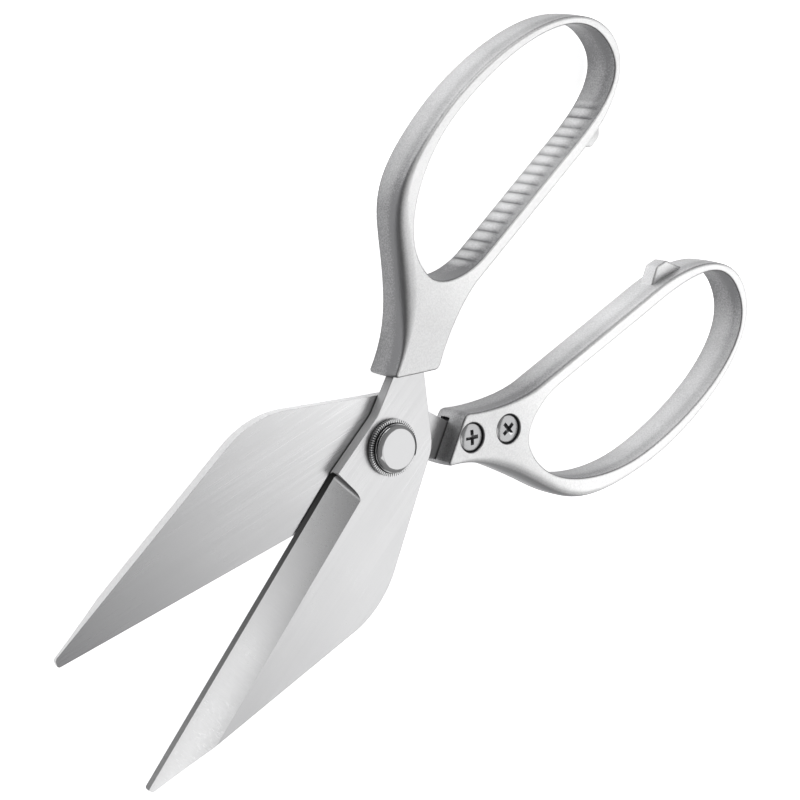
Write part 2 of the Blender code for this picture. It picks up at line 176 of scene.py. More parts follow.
def slab(name, outlines, low, high, bulge=0.0, lip=0.06 * mm, arcSteps=7, wallSteps=8):
    # a plate with rounded long edges and slightly full side walls
    lines = [("front", k / arcSteps) for k in range(arcSteps + 1)]
    lines += [("wall", k / wallSteps) for k in range(1, wallSteps)]
    lines += [("back", k / arcSteps) for k in range(arcSteps + 1)]
    middle, reach = (low + high) / 2, (high - low) / 2
    bm = bmesh.new()
    caps = ([], [])
    for path in outlines:
        normals = inwardNormals([point for point, front, back in path])
        rings = []
        for number, (part, t) in enumerate([lines[0]] + lines + [lines[-1]]):
            extra = lip if number in (0, len(lines) + 1) else 0.0
            ring = []
            for (point, front, back), normal in zip(path, normals):
                inset, z = sectionPoint(part, t, front, back, low, high)
                inset += extra + bulge * ((z - middle) / reach) ** 2
                ring.append(bm.verts.new((*(point + normal * inset), z)))
            rings.append(ring)
        for above, below in zip(rings, rings[1:]):
            joinRings(bm, above, below)
        for cap, ring in zip(caps, (rings[0], rings[-1])):
            cap += [bm.edges.get((ring[i - 1], ring[i])) for i in range(len(ring))]
    for cap in caps:
        bmesh.ops.triangle_fill(bm, edges=cap, use_beauty=True, use_dissolve=False)
    return newPiece(name, bm)


def prism(name, points, low, high):
    bm = bmesh.new()
    rings = [[bm.verts.new((p.x, p.y, z)) for p in points] for z in (low, high)]
    joinRings(bm, *rings)
    bm.faces.new(rings[0])
    bm.faces.new(rings[1])
    return newPiece(name, bm)


def turned(name, profile, sides=96, centre=(0, 0)):
    # turned about z from (radius, height) points, from the axis out and back
    bm = bmesh.new()
    rings = []
    for radius, z in profile:
        count = sides if radius else 1
        turns = [2 * math.pi * i / count for i in range(count)]
        places = [(centre[0] + radius * math.cos(a), centre[1] + radius * math.sin(a), z) for a in turns]
        rings.append([bm.verts.new(place) for place in places])
    for low, high in zip(rings, rings[1:] + rings[:1]):
        if len(low) == len(high) == sides:
            joinRings(bm, low, high)
        elif len(low) != len(high):
            tip, ring = (low[0], high) if len(low) == 1 else (high[0], low)
            for i in range(sides):
                bm.faces.new((tip, ring[i], ring[(i + 1) % sides]))
    return newPiece(name, bm)


def rounded(profile, radius, steps=4):
    # rounds every corner of a turned profile that isn't on the axis
    points = []
    for i, corner in enumerate(profile):
        corner = Vector(corner)
        before, after = Vector(profile[i - 1]), Vector(profile[(i + 1) % len(profile)])
        if not corner.x or not (before - corner).length or not (after - corner).length:
            points.append(tuple(corner))
            continue
        reach = min(radius, (before - corner).length / 2.2, (after - corner).length / 2.2)
        start = corner + (before - corner).normalized() * reach
        end = corner + (after - corner).normalized() * reach
        for k in range(steps + 1):
            t = k / steps
            points.append(tuple(start * (1 - t) ** 2 + corner * 2 * t * (1 - t) + end * t * t))
    return points


def applyModifiers(piece):
    bpy.context.view_layer.update()
    graph = bpy.context.evaluated_depsgraph_get()
    mesh = bpy.data.meshes.new_from_object(piece.evaluated_get(graph))
    piece.modifiers.clear()
    piece.data = mesh


def combine(piece, tool, operation="DIFFERENCE"):
    modifier = piece.modifiers.new(operation.lower(), "BOOLEAN")
    modifier.operation = operation
    modifier.solver = "EXACT"
    modifier.object = tool
    applyModifiers(piece)
    bpy.data.objects.remove(tool, do_unlink=True)


def joined(name, parts):
    bm = bmesh.new()
    for part in parts:
        bm.from_mesh(part.data)
        bpy.data.objects.remove(part, do_unlink=True)
    return newPiece(name, bm)


def finished(piece, turn, body, materials, nodes, sharpAngle=32):
    # puts a piece in its place and ties it to the frame
    piece.data.transform(turn)
    piece.data.shade_smooth()
    piece.data.set_sharp_from_angle(angle=math.radians(sharpAngle))
    for material in materials[len(piece.data.materials):]:
        piece.data.materials.append(material)
    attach(piece, body)
    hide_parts(*nodes)
    print("made", piece.name, len(piece.data.polygons), "faces")


# Node trees

def addNode(tree, kind, inputs=None, **settings):
    node = tree.nodes.new(kind)
    for key, value in settings.items():
        setattr(node, key, value)
    for key, value in (inputs or {}).items():
        if isinstance(value, bpy.types.NodeSocket):
            tree.links.new(value, node.inputs[key])
        else:
            node.inputs[key].default_value = value
    return node


def mathNode(tree, operation, a, b=0.0, clamp=False):
    node = addNode(tree, "ShaderNodeMath", {0: a, 1: b}, operation=operation, use_clamp=clamp)
    return node.outputs[0]


def geometryTree(name, inputs):
    tree = bpy.data.node_groups.new(name, "GeometryNodeTree")
    tree.interface.new_socket("Geometry", in_out="INPUT", socket_type="NodeSocketGeometry")
    for label, kind in inputs:
        tree.interface.new_socket(label, in_out="INPUT", socket_type=kind)
    tree.interface.new_socket("Geometry", in_out="OUTPUT", socket_type="NodeSocketGeometry")
    source = tree.nodes.new("NodeGroupInput")
    return tree, source


def endTree(tree, source, geometry):
    real = addNode(tree, "GeometryNodeRealizeInstances", {0: geometry})
    coated = addNode(tree, "GeometryNodeSetMaterial", {
        0: real.outputs[0], "Material": source.outputs["Material"]})
    output = tree.nodes.new("NodeGroupOutput")
    tree.links.new(coated.outputs[0], output.inputs[0])


def bakeTree(piece, tree, values):
    modifier = piece.modifiers.new(tree.name, "NODES")
    modifier.node_group = tree
    for item in tree.interface.items_tree:
        if item.in_out == "INPUT" and item.name in values:
            modifier[item.identifier] = values[item.name]
    applyModifiers(piece)


# Materials

def grey(level):
    # metal greys lean very slightly to blue
    return (level, level, level + 0.005)


def startMaterial(name, colour, roughness, metallic=1.0):
    material = bpy.data.materials.new(name)
    material.use_nodes = True
    shader = material.node_tree.nodes["Principled BSDF"]
    shader.inputs["Base Color"].default_value = (*colour, 1)
    shader.inputs["Roughness"].default_value = roughness
    shader.inputs["Metallic"].default_value = metallic
    material.diffuse_color = (*colour, 1)
    return material, material.node_tree, shader


def objectPlace(tree, turn=0.0, stretch=(1, 1, 1)):
    # object coordinates turned to lie along a piece, then stretched
    coords = addNode(tree, "ShaderNodeTexCoord").outputs["Object"]
    moved = addNode(tree, "ShaderNodeMapping", {"Vector": coords, "Rotation": (0, 0, -turn)})
    return addNode(tree, "ShaderNodeMapping", {"Vector": moved.outputs[0], "Scale": stretch}).outputs[0]


def noise(tree, place, scale, detail=2.0, rough=0.5):
    inputs = {"Vector": place, "Scale": scale, "Detail": detail, "Roughness": rough}
    return addNode(tree, "ShaderNodeTexNoise", inputs).outputs["Fac"]


def spread(tree, value, low, high, fromLow=0.3, fromHigh=0.7):
    inputs = {"Value": value, "From Min": fromLow, "From Max": fromHigh, "To Min": low, "To Max": high}
    return addNode(tree, "ShaderNodeMapRange", inputs).outputs[0]


def greyMix(tree, factor, dark, light):
    mix = addNode(tree, "ShaderNodeMix", {0: factor, 6: (*dark, 1), 7: (*light, 1)}, data_type="RGBA")
    return mix.outputs[2]


def bump(tree, shader, heights):
    # heights is a list of (value, depth in metres), laid one on the other
    normal = None
    for value, depth in heights:
        inputs = {"Height": value, "Distance": depth, "Strength": 1.0}
        if normal:
            inputs["Normal"] = normal
        normal = addNode(tree, "ShaderNodeBump", inputs).outputs[0]
    tree.links.new(normal, shader.inputs["Normal"])


def attribute(tree, name):
    return addNode(tree, "ShaderNodeAttribute", attribute_name=name).outputs["Fac"]


# the walls are darker than the flat faces: partly a blasted finish against a polished one, partly painted
# shade on the walls and painted highlight on the faces
castLook = {
    "wallDark": grey(0.2), "wallLight": grey(0.74), "faceDark": grey(0.6), "faceLight": (0.97, 0.97, 0.97),
    "plain": (0.6, 0.6, 0.6), "rough": 0.38, "roughest": 0.52, "lift": 0.2, "toneGain": 0.6, "grainGain": 0.5,
    "grain": 2600, "grainDeep": 0.045, "sparkle": 5200, "sparkleDeep": 0.02, "cloud": 90, "cloudShare": 0.3,
}


def castSilver(name):
    # darker blasted walls and brighter flat faces, partly a real finish and partly painted shade on the walls
    # and painted highlight on the faces; painted light and shade from markSurface, and a painted highlight on
    # the rib crests with painted shade in their grooves
    look = castLook
    material, tree, shader = startMaterial(name, look["plain"], 0.45)
    place = objectPlace(tree)
    grain = noise(tree, place, look["grain"], 3, 0.6)
    sparkle = noise(tree, place, look["sparkle"], 1)
    cloud = noise(tree, place, look["cloud"], 2)
    grainShade = spread(tree, grain, 0, 1 - look["cloudShare"])
    shade = mathNode(tree, "ADD", grainShade, spread(tree, cloud, 0, look["cloudShare"]))
    # painted light and shade from markSurface, added to the random grain
    toned = mathNode(tree, "MULTIPLY", attribute(tree, "paintedShading"), look["toneGain"])
    toned = mathNode(tree, "ADD", toned, mathNode(tree, "MULTIPLY", shade, look["grainGain"]))
    lifted = mathNode(tree, "ADD", toned, look["lift"])
    # painted highlight on the rib crests and painted shade in their grooves
    ribbed = mathNode(tree, "ADD", attribute(tree, "ribPaintedShade"), lifted, True)
    wall = greyMix(tree, ribbed, look["wallDark"], look["wallLight"])
    lifted = mathNode(tree, "ADD", toned, look["lift"], True)
    face = greyMix(tree, lifted, look["faceDark"], look["faceLight"])
    facing = attribute(tree, "facing")
    # walls and flat faces take their own greys, partly finish and partly painted shade and painted highlight
    both = addNode(tree, "ShaderNodeMix", {0: facing, 6: wall, 7: face}, data_type="RGBA")
    tree.links.new(both.outputs[2], shader.inputs["Base Color"])
    rough = spread(tree, sparkle, look["rough"], look["roughest"])
    rough = mathNode(tree, "ADD", rough, spread(tree, cloud, 0, 0.05))
    tree.links.new(rough, shader.inputs["Roughness"])
    bump(tree, shader, [(grain, look["grainDeep"] * mm), (sparkle, look["sparkleDeep"] * mm)])
    return material


brushing = {
    # grain along and across per metre, its depth in mm, and hairs as multiples of the grain
    "rough": 0.3, "metallic": 1.0, "along": 14, "across": 4800, "deep": 0.0003, "hairAcross": 2.2,
    "hairAlong": 2.5, "hairDeep": 0.6, "smoother": 0.05, "rougher": 0.07, "cloud": 55, "cloudShare": 0.3,
}


def brushedSteel(name, turn, fadeTurn, changes):
    # fine lines along y, after the turn; the colour fades to another one between two heights, as painted
    # shade
    look = {**brushing, **changes}
    along, across, share = look["along"], look["across"], look["cloudShare"]
    material, tree, shader = startMaterial(name, look["light"], look["rough"], look["metallic"])
    lines = noise(tree, objectPlace(tree, turn, (across, along, across / 4)), 1, 3, 0.65)
    hairPlace = objectPlace(tree, turn, (across * look["hairAcross"], along * look["hairAlong"], across))
    hairs = noise(tree, hairPlace, 1, 1)
    cloud = noise(tree, objectPlace(tree, turn), look["cloud"], 2)
    shade = mathNode(tree, "ADD", spread(tree, lines, 0, 1 - share), spread(tree, cloud, 0, share), True)
    colour = greyMix(tree, shade, look["dark"], look["light"])
    # painted shade: the colour turns to the fade colour between two heights
    height = addNode(tree, "ShaderNodeSeparateXYZ", {0: objectPlace(tree, fadeTurn)}).outputs[1]
    faded = spread(tree, height, 0, 1, look["fadeFrom"] * mm, look["fadeTo"] * mm)
    fade = {0: faded, 6: colour, 7: (*look["fade"], 1)}
    colour = addNode(tree, "ShaderNodeMix", fade, data_type="RGBA").outputs[2]
    tree.links.new(colour, shader.inputs["Base Color"])
    rough = spread(tree, hairs, look["rough"] - look["smoother"], look["rough"] + look["rougher"])
    rough = mathNode(tree, "ADD", rough, spread(tree, cloud, 0, 0.04))
    tree.links.new(rough, shader.inputs["Roughness"])
    bump(tree, shader, [(lines, look["deep"] * mm), (hairs, look["deep"] * look["hairDeep"] * mm)])
    return material


polishing = {
    "smear": 260, "smoothest": 0.75, "roughest": 1.4, "scratchTurn": 0.6, "scratches": (3000, 220, 900),
}


def polishedSteel(name, roughness, scratch, colour, shadeBetween=None):
    # the dark colour given as the last argument is painted shade on the core between the teeth of a knurl
    material, tree, shader = startMaterial(name, colour, roughness)
    if shadeBetween:
        shade = greyMix(tree, attribute(tree, "tooth"), shadeBetween, colour)
        tree.links.new(shade, shader.inputs["Base Color"])
    smear = noise(tree, objectPlace(tree), polishing["smear"], 3, 0.6)
    fine = noise(tree, objectPlace(tree, polishing["scratchTurn"], polishing["scratches"]), 1, 2)
    rough = spread(tree, smear, roughness * polishing["smoothest"], roughness * polishing["roughest"])
    tree.links.new(rough, shader.inputs["Roughness"])
    bump(tree, shader, [(fine, scratch * mm)])
    return material


handleMetal = castSilver("castSilver")
brightMetal = polishedSteel("brightSteel", 0.1, 0.0015, grey(0.5))
screwMetal = polishedSteel("screwSteel", 0.14, 0.003, grey(0.36))
# the nut's core between its teeth is painted near black as painted shade
nutMetal = polishedSteel("nutSteel", 0.3, 0.003, grey(0.68), (0.05, 0.05, 0.052))
print("materials ready")


# Handles

handle = {
    "heel": Vector((-12.1, 11.4)), "heelWall": 1.5, "lipWall": 1.98, "tangWide": 9.3, "tangEnd": 4.2,
    "rootTurn": 47, "lipTurn": 115, "heelTurn": 286, "neckTurn": 318, "neck": Vector((-25.5, 30.1)),
    "throat": Vector((-20.8, 36.4)), "slack": 0.7, "gap": 0.3, "cornerRound": 1.6, "bulge": 0.25,
    "crown": Vector((-17.8, 115.1)), "crownWall": 2.9, "belly": Vector((-43.8, 67.0)), "bellyWall": 3.5,
    "barX": -5.3, "barY": 70.0, "barSlope": 0.091, "barFoot": 45.0, "barHead": 87.0, "barWall": 3.7,
    "middle": Vector((-25.0, 74.0)), "holeSlope": 0.102, "holeFoot": 50.0, "holeShift": -0.8,
}
lug = {"y": 94.0, "topLong": 3.4, "deep": 4.5, "clear": 0.2, "bevel": 0.45, "bevelSteps": 3}
ribs = {"Pitch": 3.2 * mm, "Height": 0.6 * mm, "Start": 44.5 * mm, "End": 101.0 * mm, "Edge": 1.2 * mm}
# middle is the ridge level where the ribs' painted shade turns into painted highlight
ribFade = {
    "crest": 0.55, "middle": 0.62, "wall": 3 * mm, "ends": 2 * mm, "edge": 0.9 * mm, "facing": 0.6, "gain": 4,
}
screw = {
    "places": (Vector((-9.0, 21.1)), Vector((-12.7, 31.8))), "shank": 2.0, "head": 3.5, "tall": 2.1,
    "dome": 0.55, "sink": 0.12, "rim": 0.25, "pocket": 3.68, "chamfer": 0.22, "recess": 1.95, "wing": 1.0,
    "deep": 1.4, "mouth": 1.25, "floor": 0.42, "turnStep": 0.9,
}
rootAlong = aimed(math.radians(handle["rootTurn"]))
rootOut = Vector((rootAlong.y, -rootAlong.x))
tangFrom = handle["heelWall"] + handle["gap"]
slotTo = tangFrom + handle["tangWide"] + handle["gap"] + handle["slack"]
rootLip = handle["heel"] + rootAlong * (slotTo + handle["lipWall"])


def barX(y, wall=0.0):
    return handle["barX"] + handle["barSlope"] * (y - handle["barY"]) - wall


def headingOf(slope):
    return 90 - math.degrees(math.atan(slope))


def handleOuter():
    # from the lip up the straight bar, over the crown, down the belly and neck to the heel
    up, corner = headingOf(handle["barSlope"]), handle["cornerRound"]
    root, lip, heel = handle["rootTurn"], handle["lipTurn"], handle["heelTurn"]
    lipSide = rootLip + aimed(math.radians(lip)) * corner
    heelSide = handle["heel"] - aimed(math.radians(heel)) * corner
    heelEnd = handle["heel"] + rootAlong * corner
    lipEnd = rootLip - rootAlong * corner
    foot, head = handle["barFoot"], handle["barHead"]
    return smoothPath([
        anchor(*lipSide, lip, 0.4, 0.294, 0.5, 1.0),
        anchor(barX(foot), foot, up, 0.273, 0.333, 0.9, 1.6),
        anchor(barX(head), head, up, 0.333, 0.46, 0.8, 1.5),
        anchor(*handle["crown"], 180, 0.365, 0.301, 0.6, 1.05),
        anchor(*handle["belly"], 270, 0.347, 0.607, 0.85, 1.4),
        anchor(*handle["neck"], handle["neckTurn"], 0.401, 0.369, 3.6, 3.6),
        anchor(*heelSide, heel, 0.369, 0.4, 0.6, 1.0, 0.3),
        anchor(*heelEnd, root, 0.4, 0.33, 0.5, 1.0),
        anchor(*lipEnd, root, 0.33, 0.4, 0.5, 1.0, 0.3),
        anchor(*lipSide, lip, 0.4, 0, 0.5, 1.0),
    ])


def handleHole():
    # the other way round: down the bar, round the throat and up the belly
    down = headingOf(handle["holeSlope"]) + 180
    crown = handle["crown"] + Vector((handle["holeShift"], -handle["crownWall"]))
    head, foot, wall = handle["barHead"], handle["holeFoot"], handle["barWall"]
    belly = handle["belly"] + Vector((handle["bellyWall"], 0))
    return smoothPath([
        anchor(*crown, 0, 0, 0.344, 0.45, 0.7, 0.4),
        anchor(barX(head, wall), head, down, 0.687, 0.323, 0.5, 0.85, 0.27),
        anchor(barX(foot, wall), foot, down, 0.323, 0.326, 0.5, 0.85, 0.27),
        anchor(*handle["throat"], 180, 0.326, 0.35, 0.5, 0.85),
        anchor(*belly, 90, 0.35, 0.324, 0.5, 0.8),
        anchor(*crown, 0, 0.304, 0, 0.45, 0.7),
    ])


def turnedOver(path):
    return [(point, back, front) for point, front, back in path]


def tangentTurn(point, centre, radius, side):
    reach = point - centre
    return math.atan2(reach.y, reach.x) + side * math.acos(radius / reach.length)


def tangOutline(grow=0.0, slack=0.0, steps=20):
    # from the lip round the far screw and back to the heel, in mm
    centre = screw["places"][1]
    radius = handle["tangEnd"] + grow
    lip = handle["heel"] + rootAlong * (tangFrom + handle["tangWide"] + grow + slack)
    heel = handle["heel"] + rootAlong * (tangFrom - grow)
    start = tangentTurn(lip, centre, radius, 1)
    sweep = (tangentTurn(heel, centre, radius, -1) - start) % (2 * math.pi)
    turns = [start + sweep * k / steps for k in range(steps + 1)]
    return [lip] + [centre + aimed(angle) * radius for angle in turns] + [heel]


def stopLug():
    top, foot = -lug["clear"], barX(lug["y"]) - handle["barWall"] / 2
    half = lug["topLong"] / 2
    long = half + top - foot
    outline = [(foot, -long), (top, -half), (top, half), (foot, long)]
    points = [Vector((x, lug["y"] + y)) * mm for x, y in outline]
    block = prism("lugBlock", points, -lug["deep"] / 2 * mm, lug["deep"] / 2 * mm)
    bevel = block.modifiers.new("bevel", "BEVEL")
    bevel.width = lug["bevel"] * mm
    bevel.segments = lug["bevelSteps"]
    bevel.limit_method = "ANGLE"
    applyModifiers(block)
    return block


def slotCutter():
    outline = tangOutline(handle["gap"], handle["slack"])
    outline = [outline[0] + rootOut * overrun] + outline + [outline[-1] + rootOut * overrun]
    return prism("slotCutter", [p * mm for p in outline], -meetGap, bladeThick + handle["gap"] * mm)


def pocketCutter():
    # pocket and clearance hole, cut to 1 mm outside the face and just past the meeting plane
    face, past = -halfDepth, 0.1 * mm
    floor = face + (screw["sink"] + screw["tall"] + handle["gap"]) * mm
    hole, pocket = (screw["shank"] + handle["gap"]) * mm, screw["pocket"] * mm
    chamfer = screw["chamfer"] * mm
    profile = [
        (0, face - mm), (pocket + chamfer + mm, face - mm), (pocket, face + chamfer), (pocket, floor),
        (hole, floor), (hole, past), (0, past),
    ]
    return joined("pocketCutter", [turned("pocket", profile, 72, place * mm) for place in screw["places"]])


def ribTree():
    # ridges across the finger side of the straight bar, pushed out along its normal, with a painted highlight
    # on their crests and painted shade in their grooves stored on the mesh
    tree, source = geometryTree("fingerRibs", [
        ("Pitch", "NodeSocketFloat"), ("Height", "NodeSocketFloat"), ("Start", "NodeSocketFloat"),
        ("End", "NodeSocketFloat"), ("Edge", "NodeSocketFloat"), ("Line", "NodeSocketFloat"),
        ("Slope", "NodeSocketFloat"), ("Half Depth", "NodeSocketFloat"), ("Material", "NodeSocketMaterial"),
    ])
    value, fade = source.outputs, ribFade
    place = addNode(tree, "GeometryNodeInputPosition").outputs[0]
    normal = addNode(tree, "GeometryNodeInputNormal").outputs[0]
    x, y, z = addNode(tree, "ShaderNodeSeparateXYZ", {0: place}).outputs
    fromStart = mathNode(tree, "SUBTRACT", y, value["Start"])
    toEnd = mathNode(tree, "SUBTRACT", value["End"], y)
    along = mathNode(tree, "DIVIDE", fromStart, value["Pitch"])
    wave = mathNode(tree, "ABSOLUTE", mathNode(tree, "SINE", mathNode(tree, "MULTIPLY", along, math.pi)))
    ridge = mathNode(tree, "POWER", wave, fade["crest"])
    wall = mathNode(tree, "ADD", value["Line"], mathNode(tree, "MULTIPLY", y, value["Slope"]))
    onWall = mathNode(tree, "GREATER_THAN", x, mathNode(tree, "SUBTRACT", wall, fade["wall"]))
    towards = addNode(tree, "ShaderNodeSeparateXYZ", {0: normal}).outputs[0]
    towards = mathNode(tree, "SUBTRACT", mathNode(tree, "MULTIPLY", towards, -1), fade["facing"])
    facing = mathNode(tree, "MULTIPLY", towards, fade["gain"], True)
    left = mathNode(tree, "DIVIDE", fromStart, fade["ends"], True)
    right = mathNode(tree, "DIVIDE", toEnd, fade["ends"], True)
    room = mathNode(tree, "SUBTRACT", value["Half Depth"], mathNode(tree, "ABSOLUTE", z))
    inside = mathNode(tree, "DIVIDE", mathNode(tree, "SUBTRACT", room, value["Edge"]), fade["edge"], True)
    for mask in (facing, left, right, inside):
        onWall = mathNode(tree, "MULTIPLY", onWall, mask)
    amount = mathNode(tree, "MULTIPLY", mathNode(tree, "MULTIPLY", ridge, value["Height"]), onWall)
    # painted highlight on the crests and painted shade in the grooves
    paintedShading = mathNode(tree, "MULTIPLY", mathNode(tree, "SUBTRACT", ridge, fade["middle"]), onWall)
    offset = addNode(tree, "ShaderNodeVectorMath", {0: normal, "Scale": amount}, operation="SCALE").outputs[0]
    moved = addNode(tree, "GeometryNodeSetPosition", {"Geometry": value["Geometry"], "Offset": offset})
    toned = addNode(tree, "GeometryNodeStoreNamedAttribute", {
        "Geometry": moved.outputs[0], "Name": "ribPaintedShade", "Value": paintedShading})
    endTree(tree, source, toned.outputs[0])
    return tree


paintedShades = {
    # heights in mm: painted light makes the walls lighter around paintedLightY; past loopY the flat faces
    # grow lighter as a painted highlight
    "paintedLightY": 78, "paintedLightReach": 36, "paintedLight": 1.05, "loopY": 30, "loopReach": 18, "loop": 0.9, "face": -0.02,
    # walls: plain level, painted shade in a band beside the front face, painted shade towards the back face,
    # painted shade inside the loop, painted light on the end face
    "wall": -0.52, "band": 0.42, "bandAt": 0.55, "bandWide": 0.28, "under": 0.3, "inward": 0.2,
    "endFace": 0.5,
    # arrises: how dark their painted dark reflection is, at which slope of the surface, and how wide
    "arris": 0.5, "arrisAt": 0.5, "arrisWide": 0.2,
    # where a surface starts to count as flat, and as turned towards the middle of the loop
    "flatFrom": 0.62, "flatReach": 0.25, "inwardFrom": 0.25, "inwardReach": 0.35,
}


def ramp(value, start, reach):
    return min(1, max(0, (value - start) / reach))


def bell(value, middle, wide):
    return math.exp(-((value - middle) / wide) ** 2)


def markSurface(piece, faceUp):
    # facing is 1 on the two flat faces; the other attribute is painted light and shade: lighter walls around
    # the middle of the loop and on the end face, lighter flat faces past loopY, painted shade in a band
    # beside the front, towards the back face and inside the loop, and a painted dark reflection on the
    # arrises
    facing = piece.data.attributes.new("facing", "FLOAT", "POINT")
    paintedShading = piece.data.attributes.new("paintedShading", "FLOAT", "POINT")
    frontSide = 1 if faceUp else -1
    for vertex in piece.data.vertices:
        y, up, sideways = vertex.co.y / mm, abs(vertex.normal.z), vertex.normal.xy
        flat = ramp(up, paintedShades["flatFrom"], paintedShades["flatReach"])
        rise = vertex.co.z * frontSide / halfDepth
        paintedLit = max(0, 1 - ((y - paintedShades["paintedLightY"]) / paintedShades["paintedLightReach"]) ** 2)
        toMiddle = (handle["middle"] * mm - vertex.co.xy).normalized()
        inward = ramp(sideways.dot(toMiddle), paintedShades["inwardFrom"], paintedShades["inwardReach"])
        # painted light on the middle of the walls and the end face, painted shade inside the loop, beside the
        # front face and towards the back face
        wall = paintedShades["wall"] + paintedShades["paintedLight"] * paintedLit - paintedShades["inward"] * inward
        wall -= paintedShades["band"] * bell(rise, paintedShades["bandAt"], paintedShades["bandWide"])
        wall -= paintedShades["under"] * min(0, rise) ** 4
        wall += paintedShades["endFace"] * max(0, sideways.dot(rootOut)) ** 6
        # painted highlight on the flat faces past loopY, and a painted dark reflection on the arrises
        face = paintedShades["face"] + paintedShades["loop"] * ramp(y, paintedShades["loopY"], paintedShades["loopReach"])
        arris = paintedShades["arris"] * bell(up, paintedShades["arrisAt"], paintedShades["arrisWide"])
        facing.data[vertex.index].value = flat
        paintedShading.data[vertex.index].value = wall * (1 - flat) + face * flat - arris


def makeHandle(name, turn, body, nodes, faceUp):
    paths = [handleOuter(), handleHole()]
    if not faceUp:
        paths = [turnedOver(path) for path in paths]
    piece = slab(name, paths, -halfDepth, halfDepth, handle["bulge"] * mm)
    combine(piece, stopLug(), "UNION")
    combine(piece, slotCutter())
    combine(piece, pocketCutter())
    line = (handle["barX"] - handle["barWall"] - handle["barSlope"] * handle["barY"]) * mm
    bakeTree(piece, ribTree(), {
        **ribs, "Line": line, "Slope": handle["barSlope"], "Half Depth": halfDepth, "Material": handleMetal,
    })
    markSurface(piece, faceUp)
    finished(piece, turn, body, [handleMetal], nodes)


makeHandle("upperHandle", frontHalf, "front_half", ["upper_handle"], True)
makeHandle("lowerHandle", backHalf, "back_half", ["lower_handle"], False)


# Handle screws

def screwBlank(steps=12, sides=64):
    top = -halfDepth + screw["sink"] * mm
    shoulder = top + screw["tall"] * mm
    end = bladeThick - handle["gap"] * mm
    head, shank, rim = screw["head"] * mm, screw["shank"] * mm, screw["rim"] * mm
    dome = [(0, top)]
    for k in range(1, steps + 1):
        turn = math.pi / 2 * k / steps
        dome.append((head * math.sin(turn), top + screw["dome"] * mm * (1 - math.cos(turn))))
    under = [(head, shoulder - rim), (head - rim, shoulder), (shank, shoulder), (shank, end), (0, end)]
    blank = turned("screwBlank", dome + under, sides)
    # a cross recess that narrows as it goes down
    wide, long, deep = screw["wing"] / 2, screw["recess"], screw["deep"]
    for turn in (0, math.pi / 2):
        bm = bmesh.new()
        rings = []
        for z, share in ((-mm, screw["mouth"]), (0, 1.0), (deep * mm, screw["floor"])):
            corners = [(-long, -wide), (long, -wide), (long, wide), (-long, wide)]
            points = [Matrix.Rotation(turn, 2) @ Vector(c) * share * mm for c in corners]
            rings.append([bm.verts.new((p.x, p.y, top + z)) for p in points])
        joinRings(bm, rings[0], rings[1])
        joinRings(bm, rings[1], rings[2])
        bm.faces.new(rings[0])
        bm.faces.new(rings[2])
        combine(blank, newPiece("recessCutter", bm))
    # the cuts leave a few doubled points
    bm = bmesh.new()
    bm.from_mesh(blank.data)
    bmesh.ops.remove_doubles(bm, verts=bm.verts, dist=0.002 * mm)
    bm.to_mesh(blank.data)
    bm.free()
    return blank


def screwTree():
    tree, source = geometryTree("handleScrews", [
        ("Count", "NodeSocketInt"), ("First", "NodeSocketVector"), ("Step", "NodeSocketVector"),
        ("First Turn", "NodeSocketFloat"), ("Turn Step", "NodeSocketFloat"),
        ("Material", "NodeSocketMaterial"),
    ])
    value = source.outputs
    places = addNode(tree, "GeometryNodeMeshLine", {
        "Count": value["Count"], "Start Location": value["First"], "Offset": value["Step"]})
    index = addNode(tree, "GeometryNodeInputIndex").outputs[0]
    spin = mathNode(tree, "MULTIPLY", index, value["Turn Step"])
    spin = mathNode(tree, "ADD", spin, value["First Turn"])
    turns = addNode(tree, "ShaderNodeCombineXYZ", {2: spin}).outputs[0]
    copies = addNode(tree, "GeometryNodeInstanceOnPoints", {
        "Points": places.outputs[0], "Instance": value["Geometry"], "Rotation": turns})
    endTree(tree, source, copies.outputs[0])
    return tree


def makeScrews(name, turn, body, nodes, firstTurn):
    first, second = [Vector((*place, 0)) * mm for place in screw["places"]]
    piece = screwBlank()
    piece.name = name
    bakeTree(piece, screwTree(), {
        "Count": len(screw["places"]), "First": first, "Step": second - first, "First Turn": firstTurn,
        "Turn Step": screw["turnStep"], "Material": screwMetal,
    })
    finished(piece, turn, body, [screwMetal], nodes)


makeScrews("upperScrews", frontHalf, "front_half", ["upper_inner_screw", "upper_outer_screw"], 1.3)
makeScrews("lowerScrews", backHalf, "back_half", ["lower_inner_screw", "lower_outer_screw"], 0.35)


# Blades

